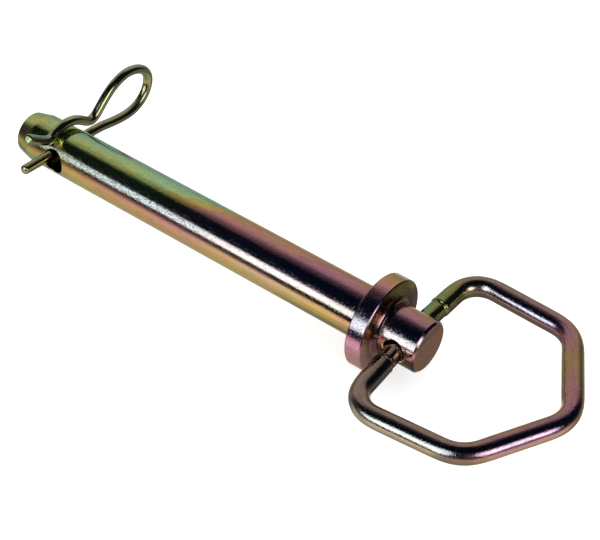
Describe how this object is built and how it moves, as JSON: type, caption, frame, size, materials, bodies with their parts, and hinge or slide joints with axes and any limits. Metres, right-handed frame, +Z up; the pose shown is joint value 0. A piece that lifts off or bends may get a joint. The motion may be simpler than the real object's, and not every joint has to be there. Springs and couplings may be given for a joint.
{
  "type": "hitch pin lock",
  "caption": "Headed steel hitch pin with a collar, a swinging bent-rod handle through its head and a removable hairpin spring clip that locks its nose end.",
  "frame": {"origin": "centre of the nose's flat end face, on the pin's axis", "axes": "+X along the pin's axis from the nose to the head and handle, with the collar's clamping face at x = 213.3 mm; +Y along the handle's pivot, to the side the clip is pushed in from; +Z up, the side the clip's sprung arm rides on"},
  "size_m": [0.3181, 0.1176, 0.0478],
  "materials": {
    "zinc_bar": "gloss",
    "zinc_collar": "gloss",
    "zinc_handle": "gloss",
    "zinc_clip": "gloss"
  },
  "bodies": {
    "pin": {"pin_bar": "zinc_bar", "collar": "zinc_collar"},
    "handle": {"handle": "zinc_handle"},
    "clip": {"clip_leg": "zinc_clip"},
    "clip_loop": {"clip_loop": "zinc_clip"},
    "clip_arm": {"clip_arm": "zinc_clip"}
  },
  "joints": [
    {"name": "handle_swing", "type": "hinge", "parent": "pin", "child": "handle", "pos_m": [0.2318, 0, 0], "axis": [0, 1, 0], "range_deg": [-164, 169]},
    {"name": "clip_slide", "type": "slide", "parent": "pin", "child": "clip", "axis": [0, 0.9925, -0.1219], "range_m": [0, 0.045], "deforming": ["clip_arm"]},
    {"name": "clip_turn", "type": "hinge", "parent": "clip", "child": "clip_loop", "pos_m": [0.0238, 0, 0.00257], "axis": [0, 0.9925, -0.1219], "range_deg": [-14, 14]},
    {"name": "clip_flex", "type": "hinge", "parent": "clip_loop", "child": "clip_arm", "pos_m": [0.0238, 0.06195, 0.0066], "axis": [-1, 0, 0], "range_deg": [0, 12], "stiffness_Nm_per_rad": 3, "deforming": ["clip_arm"]}
  ]
}
